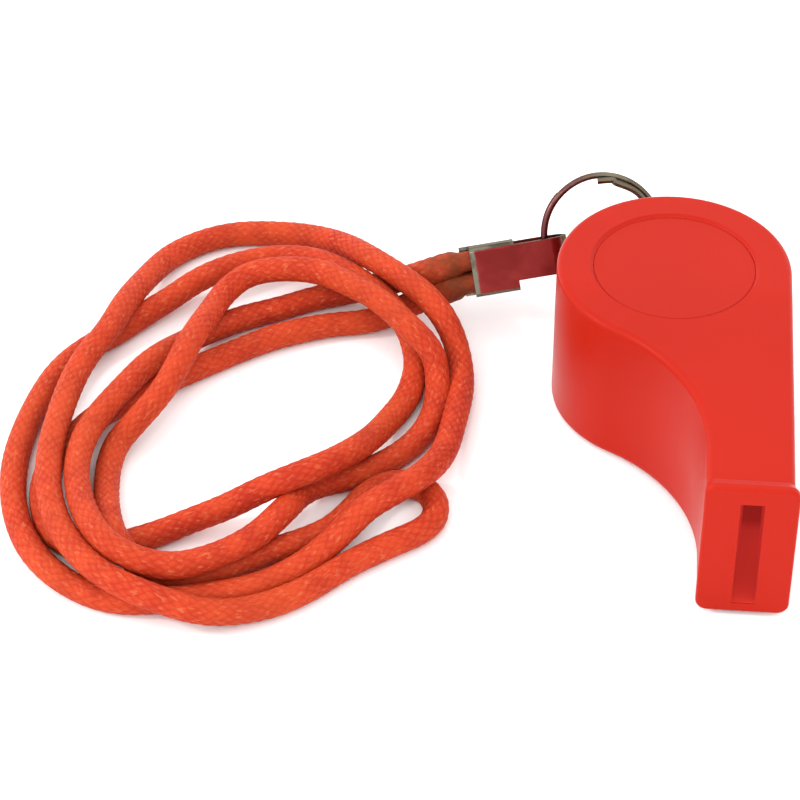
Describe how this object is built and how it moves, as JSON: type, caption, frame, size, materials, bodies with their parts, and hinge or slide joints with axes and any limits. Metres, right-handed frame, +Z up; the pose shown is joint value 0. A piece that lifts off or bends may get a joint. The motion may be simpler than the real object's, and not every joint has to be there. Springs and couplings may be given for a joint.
{
  "type": "training whistle",
  "caption": "Plastic pea whistle with a flared mouthpiece, lying on its side, on a split ring, cord clamp and loosely coiled braided lanyard.",
  "frame": {"origin": "on the axis of the round chamber, at the side face that the whistle lies on", "axes": "+Z up along the chamber's axis, -Y towards the mouthpiece's end, +X towards the whistle's straight back with the sound window"},
  "size_m": [0.0913, 0.0724, 0.0196],
  "materials": {
    "body_plastic": "satin to gloss moulded red plastic",
    "cap_plastic": "satin to gloss moulded red plastic",
    "pea_cork": "pressed cork, fine grain",
    "ring_wire": "dull nickel-plated steel wire",
    "clamp_metal": "bright plated sheet steel",
    "lanyard_cord": "braided orange-red synthetic cord"
  },
  "bodies": {
    "whistle": {"whistle_body": "body_plastic", "side_cap": "cap_plastic"},
    "pea": {"pea": "pea_cork"},
    "ring": {"split_ring": "ring_wire"},
    "lanyard": {"cord_clamp": "clamp_metal", "lanyard_coil": "lanyard_cord", "lanyard_lead_out": "lanyard_cord", "lanyard_lead_back": "lanyard_cord"}
  },
  "joints": [
    {"name": "pea_orbit", "type": "hinge", "parent": "whistle", "child": "pea", "pos_m": [0, 0, 0.0098], "axis": [0, 0, 1], "continuous": true},
    {"name": "ring_swing", "type": "hinge", "parent": "whistle", "child": "ring", "pos_m": [-0.00162, 0.01687, 0.0098], "axis": [0, 0, 1], "range_deg": [-158, 2]},
    {"name": "clamp_swing", "type": "hinge", "parent": "ring", "child": "lanyard", "pos_m": [-0.01557, 0.01558, 0.0096], "axis": [-0.2091, 0.5066, 0.8364], "range_deg": [-30, 25]}
  ]
}
